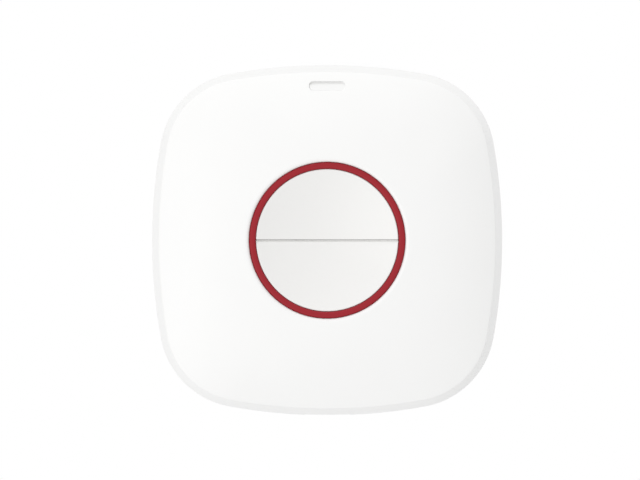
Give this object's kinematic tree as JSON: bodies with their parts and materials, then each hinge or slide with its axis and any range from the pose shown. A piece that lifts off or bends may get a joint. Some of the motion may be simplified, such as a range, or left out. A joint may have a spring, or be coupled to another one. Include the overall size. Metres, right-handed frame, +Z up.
{
  "type": "wireless panic button",
  "caption": "Softly square, domed wall alarm button with half-round keys in a red ring, an indicator slot above them and a screw-on rear cover.",
  "frame": {"origin": "centre of the rear face, where the button lies on the wall", "axes": "+X right and +Z up, seen from the front; +Y into the wall, so the keys face -Y"},
  "size_m": [0.07, 0.0175, 0.0699],
  "materials": {
    "cover_white": "fine moulded texture, satin",
    "rear_white": "fine moulded texture, matt",
    "key_white": "smooth satin",
    "ring_red": "semi-gloss",
    "light_guide_clear": "milky translucent",
    "carrier_grey": "moulded",
    "board_green": "solder mask",
    "screw_steel": "zinc plated",
    "switch_black": "moulded",
    "stamped_steel": "stamped sheet",
    "plunger_white": "moulded",
    "boot_silicone": "translucent silicone",
    "light_lens": "moulded",
    "chip_black": "moulded",
    "antenna_brass": "plated",
    "cell_steel": "nickel plated",
    "holder_black": "moulded"
  },
  "bodies": {
    "housing": {"front_cover": "cover_white", "rear_cover": "rear_white", "red_ring": "ring_red", "button_carrier": "carrier_grey", "carrier_screws": "screw_steel", "indicator_light_guide": "light_guide_clear", "circuit_board": "board_green", "board_screws": "screw_steel", "upper_switch_base": "switch_black", "lower_switch_base": "switch_black", "upper_switch_cover": "stamped_steel", "lower_switch_cover": "stamped_steel", "upper_switch_dome": "stamped_steel", "lower_switch_dome": "stamped_steel", "upper_return_boot": "boot_silicone", "lower_return_boot": "boot_silicone", "status_light": "light_lens", "radio_module": "board_green", "radio_shield": "stamped_steel", "controller_chip": "chip_black", "clock_crystal": "stamped_steel", "board_parts": "chip_black", "antenna": "antenna_brass", "coin_cell": "cell_steel", "battery_holder": "holder_black", "battery_positive_clip": "stamped_steel", "battery_negative_contact": "stamped_steel", "tamper_housing": "switch_black", "tamper_spring": "stamped_steel"},
    "upper_key": {"upper_button": "key_white", "upper_switch_plunger": "plunger_white"},
    "lower_key": {"lower_button": "key_white", "lower_switch_plunger": "plunger_white"},
    "tamper": {"tamper_pin": "plunger_white"}
  },
  "joints": [
    {"name": "upper_press", "type": "slide", "parent": "housing", "child": "upper_key", "axis": [0, 1, 0], "range_m": [0, 0.0008], "stiffness_N_per_m": 2500, "deforming": ["upper_return_boot", "upper_switch_dome"]},
    {"name": "lower_press", "type": "slide", "parent": "housing", "child": "lower_key", "axis": [0, 1, 0], "range_m": [0, 0.0008], "stiffness_N_per_m": 2500, "deforming": ["lower_return_boot", "lower_switch_dome"]},
    {"name": "tamper_release", "type": "slide", "parent": "housing", "child": "tamper", "axis": [0, 1, 0], "range_m": [0, 0.0012], "stiffness_N_per_m": 150, "deforming": ["tamper_spring"]}
  ]
}
